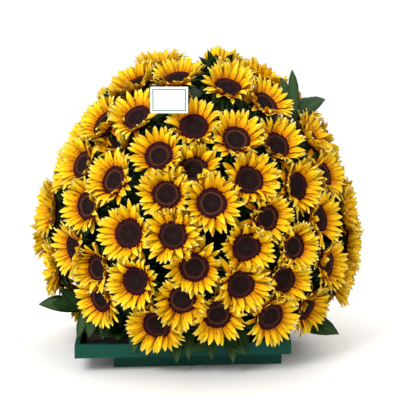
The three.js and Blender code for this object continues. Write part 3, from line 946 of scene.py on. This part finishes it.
# %% The sprigs' places
# bearing, level, proud, and each leaf's tip, measured from the heart, and width, all in millimetres
SPRIGS = {
    "leaf_sprig_top_right": (57, 212, 4, [
        (148, -34, 291, 12), (168, -44, 303, 14), (195, -56, 254, 14), (229, -36, 250, 20)]),
    "leaf_sprig_left": (-72, -124, 8, [(-285, -66, -116, 24), (-258, -92, -108, 20)]),
    "leaf_sprig_right": (64, -145, 9, [(250, -108, -160, 28)]),
    "leaf_sprig_front_left": (-42, -148, 0, [
        (-200, -150, -144, 18), (-160, -188, -142, 24), (-132, -196, -146, 20)]),
    "leaf_sprig_front_right": (15, -147, 4, [(82, -212, -168, 18), (-14, -214, -162, 18)]),
}
# more leaves of the side sprigs, and leaves that hang down in the tray and over its front
LOOSE = {"leaf_sprig_left": [(-244, -80, -84, 20)], "leaf_sprig_right": [(226, -124, -158, 22)]}
HANGING = {
    "leaf_sprig_front_left": [
        (-204, -160, -156, 15), (-184, -170, -150, 20), (-160, -178, -152, 18), (-106, -200, -168, 19),
        (-84, -206, -172, 16)],
    "leaf_sprig_front_right": [
        (-34, -210, -182, 17), (-14, -214, -176, 15), (24, -212, -176, 16), (60, -212, -182, 17),
        (80, -208, -170, 15), (126, -200, -160, 18), (152, -190, -158, 16)],
}
BLADE_STATIONS = np.array([0.0, 0.08, 0.22, 0.4, 0.58, 0.76, 0.9, 0.97])
BLADE_WIDTHS = np.array([0.12, 0.34, 0.8, 1.0, 0.95, 0.66, 0.3, 0.1])
BLADE_THICK = 0.0005
BROAD = 1.35  # the leaves are a little wider than their plain frames
SPRIG_STALK, HANGING_STALK = 0.0018, 0.001


# %% Stalks and blades
def stalk(growth, path, radius, kind=0):
    tube(growth, path, *frames(path, [0.3, 0.2, 1.0]), radius, 7, 1, 0.4, kind)


def blade(growth, start, tip, width, rng):
    """One long leaf from start to tip, arched upward, with its broad side to the front."""
    upward = unit(np.array([0.0, -0.8, 0.6]) + rng.normal(0, 0.15, 3))
    arch = np.sin(np.pi * BLADE_STATIONS) * 0.08 * np.linalg.norm(tip - start)
    rise = np.array([0, 0, 1.0]) * arch[:, None]
    path = start + (tip - start) * BLADE_STATIONS[:, None] + rise
    side, up = frames(path, upward)
    half = (width / 2 * BROAD * BLADE_WIDTHS)[None]
    cup = np.full(half.shape, rng.uniform(0.15, 0.35))
    rings = blades(path[None], side[None], up[None], half, cup, BLADE_THICK)
    growth.add(rings, start[None], tip[None], BLADE_STATIONS, LEAF_ACROSS, rng.random(1), 0)


def from_heart(x, y, z):
    return HEART + np.array([x, y, z]) / 1000


# %% Grow the sprigs
for number, (node, (bearing, level, proud, tips)) in enumerate(SPRIGS.items()):
    rng = np.random.default_rng(700 + number)
    growth = Growth()
    root = place(bearing, level)
    parting = root["centre"] + root["axis"] * proud / 1000
    entry, inward = foam_entry(root["centre"])
    bend = entry * 0.2 + root["centre"] * 0.8
    stalk(growth, curve(entry + inward * STEM_DEPTH, entry, bend, parting, 9), SPRIG_STALK)
    for x, y, z, width in tips + LOOSE.get(node, []):
        blade(growth, parting, from_heart(x, y, z), width / 1000, rng)
    for x, y, z, width in HANGING.get(node, []):
        start = from_heart(x * 0.92, y * 0.86, z + 46)
        halfway = parting * 0.5 + start * 0.5 + [0, 0, 0.01]
        stalk(growth, curve(parting, halfway, start, start, 6), HANGING_STALK)
        blade(growth, start, from_heart(x, y, z), width / 1000, rng)
    growth.piece(node.replace("leaf_sprig", "leaves"), (LEAF,), "leaf", node)
    print(node, "leaves:", len(tips) + len(LOOSE.get(node, [])) + len(HANGING.get(node, [])))

# %% [markdown]
# ## The bud
# One flower is still shut: a ring of short petals held by green bracts, on a thin stalk.

# %% Bud
BUD_BEARING, BUD_LEVEL, BUD_STALK = -75, 250, 0.0026
BUD_CUP = ([-2.0, 1.0, 5.0, 8.0], [3.0, 7.5, 9.5, 6.0])
# inner petals, outer petals and bracts: how many, how far out, length, half width, lean and finish
BUD_RINGS = [
    (13, 0.0040, 0.022, 0.0042, 72, 0),
    (13, 0.0054, 0.020, 0.0042, 62, 0),
    (12, 0.0068, 0.015, 0.0038, 55, 2),
]
rng = np.random.default_rng(811)
growth = Growth()
root = place(BUD_BEARING, BUD_LEVEL)
centre, basis = root["centre"], basis_on(root["axis"])
entry, inward = foam_entry(centre)
neck, top = centre - root["axis"] * 0.03, centre + root["axis"] * 0.004
stalk(growth, curve(entry + inward * STEM_DEPTH, entry, neck, top, 9), BUD_STALK, 2)
share = PETAL_STATIONS
for count, start, reach, half, lean, kind in BUD_RINGS:
    ways, sides = turned(spread(count, 0.25, rng) + kind, basis[0], basis[1])
    tilt = np.radians(lean + rng.normal(0, 6, count))[:, None] + np.radians(45) * (share - 0.3)
    travel, up = turned(tilt, ways[:, None], basis[2])
    origin = centre + ways * start + basis[2] * 0.003
    middle = strung(origin, travel, share, np.full(count, reach))
    halves = np.tile(half * PETAL_WIDTHS, (count, 1))
    side = np.repeat(sides[:, None], len(share), 1)
    rings = blades(middle, side, up, halves, halves * 0 + 0.3, 0.0003)
    base, tip = origin - travel[:, 0] * 0.001, middle[:, -1] + travel[:, -1] * 0.001
    growth.add(rings, base, tip, share, LEAF_ACROSS, rng.random(count), kind)
green_cup(growth, centre, basis, *BUD_CUP, 0.5)
growth.piece("shut_bud", FLOWER_FINISHES, "sunflower", "sunflower_bud")
print("bud at", [round(float(value), 3) for value in centre])

# %% [markdown]
# ## The floral foam
# The stems are held by a rounded block of wet foam. It is crumbly and full of fine pits, so its skin is
# lathed and then moved in and out a little, and the pits come from the finish.

# %% Foam finish
foam_green = Finish("floral foam", Roughness=0.95, Specular_IOR_Level=0.15)
where = foam_green.where()
pits = foam_green.noise(where, 420.0, 4.0)
damp = foam_green.noise(where, 14.0, 2.0)
wet = foam_green.blend(damp, (0.010, 0.034, 0.014), (0.022, 0.062, 0.024))
pitted = foam_green.blend((pits - 0.35) * 0.8, wet, (0.035, 0.085, 0.035))
FOAM_GREEN = foam_green.wear(pitted, 0.95, pits, 0.002)

# %% Foam
FOAM_SIDES, FOAM_SIDE_RINGS, FOAM_TOP_RINGS = 64, 12, 15
CRUMBLY = 0.006  # how far the skin moves in and out, as a share of the radius
rng = np.random.default_rng(55)
crown_turn = np.linspace(0, 0.97, FOAM_TOP_RINGS) * np.pi / 2
side_levels = np.linspace(FOAM["bottom"], HEART[2], FOAM_SIDE_RINGS, endpoint=False)
levels = np.concatenate([side_levels, HEART[2] + FOAM["rise"] * np.sin(crown_turn)])
radii = FOAM["radius"] * np.concatenate([np.ones(FOAM_SIDE_RINGS), np.cos(crown_turn)])
growth = Growth()
middle = np.stack([0 * levels, 0 * levels, levels], -1)
rings = tubes(middle[None], *np.eye(3)[:2], radii[None], FOAM_SIDES)
rings[..., :2] *= 1 + rng.normal(0, CRUMBLY, rings.shape[:3])[..., None]
top = middle[-1:] + [0, 0, 0.001]
growth.add(rings, middle[:1], top, np.linspace(0, 1, len(levels)), 0, 0.5, 0)
growth.piece("foam_block", (FOAM_GREEN,), "floral_foam", "floral_foam")
print("foam rings:", len(levels))

# %% [markdown]
# ## The wooden tray and its foot
# The holder is a shallow square tray of boards on a smaller foot, brushed with dark green paint. Every
# board is a bevelled box of its own, with a hair of space at the joints, as a joiner would leave it.
# The paint is rubbed thin here and there, and the floor boards inside are dark brown.

# %% Paint and dark brown wood
paint = Finish("green paint", Specular_IOR_Level=0.14)
where = paint.where()
brushed = paint.noise(paint.stretched(where, 1.0, 1.0, 9.0), 26.0, 5.0)
cloud = paint.noise(where, 7.0, 3.0)
chips = paint.noise(where, 60.0, 5.0)
teal = paint.blend(cloud, (0.001, 0.034, 0.023), (0.003, 0.062, 0.042))
streaked = paint.blend(brushed * 0.45, teal, (0.004, 0.088, 0.058))
worn = paint.blend(((chips - 0.66) * 7.0).through("MAXIMUM"), streaked, (0.040, 0.110, 0.070))
GREEN_PAINT = paint.wear(worn, 0.42 + brushed * 0.25, brushed, 0.0006)

dark_wood = Finish("dark brown wood", Roughness=0.7)
where = dark_wood.where()
grain = dark_wood.noise(dark_wood.stretched(where, 1.0, 14.0, 14.0), 12.0, 6.0)
wet = dark_wood.noise(where, 9.0, 3.0)
brown = dark_wood.blend(grain, (0.016, 0.010, 0.007), (0.050, 0.028, 0.016))
damp = dark_wood.blend((wet - 0.45) * 2.0, brown, (0.008, 0.016, 0.010))
DARK_WOOD = dark_wood.wear(damp, 0.6 + grain * 0.3, grain, 0.0008)


# %% Boards
def board(shape, low, high, bevel, finish):
    """Adds one bevelled box to a bmesh."""
    made = bmesh.ops.create_cube(shape, size=1.0)["verts"]
    middle = (Vector(low) + Vector(high)) / 2
    size = Vector(high) - Vector(low)
    for vertex in made:
        vertex.co = Vector(a * b for a, b in zip(vertex.co, size)) + middle
    edges = list({edge for vertex in made for edge in vertex.link_edges})
    faces = list({face for vertex in made for face in vertex.link_faces})
    for face in faces:
        face.material_index = finish
    bmesh.ops.bevel(shape, geom=edges, offset=bevel, segments=2, profile=0.6, affect="EDGES")


TURN, SHIFT = math.radians(4), -0.008  # the holder stands a little askew, and left of the middle
JOINT = 0.0003
WALL_EDGE, PLANK_EDGE = 0.0012, 0.0008


def four_walls(left, right, half, low, high, thick):
    """Front and back walls that run through, and side walls that fit between them."""
    inner = half - thick - JOINT
    walls = [
        ((left, -half, low), (right, -half + thick, high)),
        ((left, half - thick, low), (right, half, high)),
        ((left, -inner, low), (left + thick, inner, high)),
        ((right - thick, -inner, low), (right, inner, high)),
    ]
    return [(*wall, WALL_EDGE, 0) for wall in walls]


def boards_piece(name, boards, slot, node):
    shape = bmesh.new()
    for low, high, bevel, finish in boards:
        board(shape, low, high, bevel, finish)
    shape.transform(Matrix.Translation((SHIFT, 0, 0)) @ Matrix.Rotation(TURN, 4, "Z"))
    mesh = bpy.data.meshes.new(name)
    shape.to_mesh(mesh)
    shape.free()
    finished(name, mesh, (GREEN_PAINT, DARK_WOOD), slot, node)
    print(name, "faces:", len(mesh.polygons))


# %% Tray and foot
TRAY = {"half": 0.1825, "low": 0.0273, "high": 0.0503, "wall": 0.009, "floor": 0.006, "shift": -0.027}
FOOT = {"half": 0.145, "height": 0.027, "board": 0.012, "set_in": 0.002}
PLANKS = 5
half, low, high, wall = TRAY["half"], TRAY["low"], TRAY["high"], TRAY["wall"]
left, right = TRAY["shift"] - half, TRAY["shift"] + half
floor_top = low + TRAY["floor"]
inner = half - wall - JOINT
tray_boards = four_walls(left, right, half, low, high, wall)
for k in range(PLANKS):
    near = -inner + 2 * inner * k / PLANKS + JOINT
    far = -inner + 2 * inner * (k + 1) / PLANKS - JOINT
    corners = (left + wall + JOINT, near, low), (right - wall - JOINT, far, floor_top)
    tray_boards.append((*corners, PLANK_EDGE, 1))
boards_piece("wooden_tray", tray_boards, "painted_tray", "tray")

half, thick, height, set_in = FOOT["half"], FOOT["board"], FOOT["height"], FOOT["set_in"]
inner = half - thick - JOINT
foot_boards = four_walls(-half, half, half, 0, height, thick)
foot_boards.append(((-inner, -inner, set_in), (inner, inner, height - set_in), PLANK_EDGE, 1))
boards_piece("tray_base", foot_boards, "painted_tray", "tray_foot")

# %% [markdown]
# ## The card and its pick
# A blank greeting card with a plain printed border leans on a green plastic pick. The card has rounded
# corners and a very slight curl, because paper near wet flowers never stays quite flat.

# %% Card finish
low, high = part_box("card")
middle = (low + high) / 2
CARD_HALF = ((high.x - low.x) / 2, (high.z - low.z) / 2)
BORDER, BORDER_SHARPNESS = 0.0042, 1500.0  # the border's distance from the edge, and how crisp it is
card_finish = Finish("card paper", Roughness=0.55)
where = card_finish.where()
across, up = (
    card_finish.node("ShaderNodeSeparateXYZ", {}, {"Vector": where}, axis) for axis in "XZ"
)
off_x = CARD_HALF[0] - (across - middle.x).through("ABSOLUTE")
off_z = CARD_HALF[1] - (up - middle.z).through("ABSOLUTE")
inset = off_x.through("MINIMUM", off_z)
line = (1.6 - (inset - BORDER).through("ABSOLUTE") * BORDER_SHARPNESS).through("MAXIMUM")
fibre = card_finish.noise(where, 700.0, 3.0)
paper = card_finish.blend(fibre, (0.60, 0.63, 0.62), (0.67, 0.69, 0.68))
printed = card_finish.blend(line.through("MINIMUM", 1.0), paper, (0.015, 0.11, 0.06))
CARD_PAPER = card_finish.wear(printed, 0.5 + fibre * 0.15, fibre, 0.0002)

# %% Card
CORNER, CARD_THICK, CURL, CARD_STRIPS = 0.0012, 0.0009, 0.0012, 12
outline = []
for k in range(4):
    centre_x = (CARD_HALF[0] - CORNER) * (1 if k in (0, 3) else -1)
    centre_z = (CARD_HALF[1] - CORNER) * (1 if k in (0, 1) else -1)
    for step in range(4):
        angle = math.pi / 2 * (k + step / 3)
        outline.append((centre_x + CORNER * math.cos(angle), centre_z + CORNER * math.sin(angle)))
shape = bmesh.new()
shape.faces.new([shape.verts.new((x, 0, z)) for x, z in outline])
for k in range(1, CARD_STRIPS):
    x = -CARD_HALF[0] + 2 * CARD_HALF[0] * k / CARD_STRIPS
    everything = shape.verts[:] + shape.edges[:] + shape.faces[:]
    bmesh.ops.bisect_plane(shape, geom=everything, plane_co=(x, 0, 0), plane_no=(1, 0, 0))
for vertex in shape.verts:
    vertex.co.y = CURL * ((vertex.co.x / CARD_HALF[0]) ** 2 - 0.5)
    vertex.co += middle
card_mesh = bpy.data.meshes.new("blank_card")
shape.to_mesh(card_mesh)
shape.free()
card = finished("blank_card", card_mesh, (CARD_PAPER,), "card", "card")
thicken = card.modifiers.new("paper thickness", "SOLIDIFY")
thicken.thickness = CARD_THICK
thicken.offset = 0
print("card size:", [round(2 * side, 4) for side in CARD_HALF])

# %% [markdown]
# ## The pick
# The stick is a thin rod of green plastic with two prongs that grip the card from behind. Three tubes,
# end to end, make the rod, which bends on its way up to the card, and two more make the prongs.

# %% Pick
PICK_BEARING, PICK_LEVEL = -11.5, 217
BEHIND_CARD = 0.0025  # half the card's curl, a little air and the rod's radius
ROD, HOLDER, PRONG = 0.0016, 0.0015, 0.0011  # radii
plastic = Finish("pick plastic", Roughness=0.35, Coat_Weight=0.2, Coat_Roughness=0.2)
haze = plastic.noise(plastic.where(), 90.0, 2.0)
tinted = plastic.blend(haze, (0.020, 0.110, 0.035), (0.030, 0.150, 0.045))
PICK_GREEN = plastic.wear(tinted, 0.3 + haze * 0.15, haze, 0.0002)
growth = Growth()
root = place(PICK_BEARING, PICK_LEVEL)["centre"]
grip = np.array([middle.x, middle.y + BEHIND_CARD, middle.z - 0.42 * 2 * CARD_HALF[1]])
head = grip + [0, 0, 0.022]
entry, inward = foam_entry(root)
stalk(growth, np.array([entry + inward * 0.02, entry, root]), ROD)
stalk(growth, curve(root, root * 0.4 + grip * 0.6, grip - [0, 0, 0.012], grip, 8), ROD)
stalk(growth, np.linspace(grip, head, 4), HOLDER)
for way in (-1, 1):
    bulge, shoulder = grip + [way * 0.010, 0, 0], head + [way * 0.012, 0, -0.008]
    stalk(growth, curve(grip, bulge, shoulder, head + [way * 0.009, 0, 0.002], 8), PRONG)
growth.piece("plastic_pick", (PICK_GREEN,), "pick", "card_pick")
print("pick reaches up to", round(float(head[2]), 3))
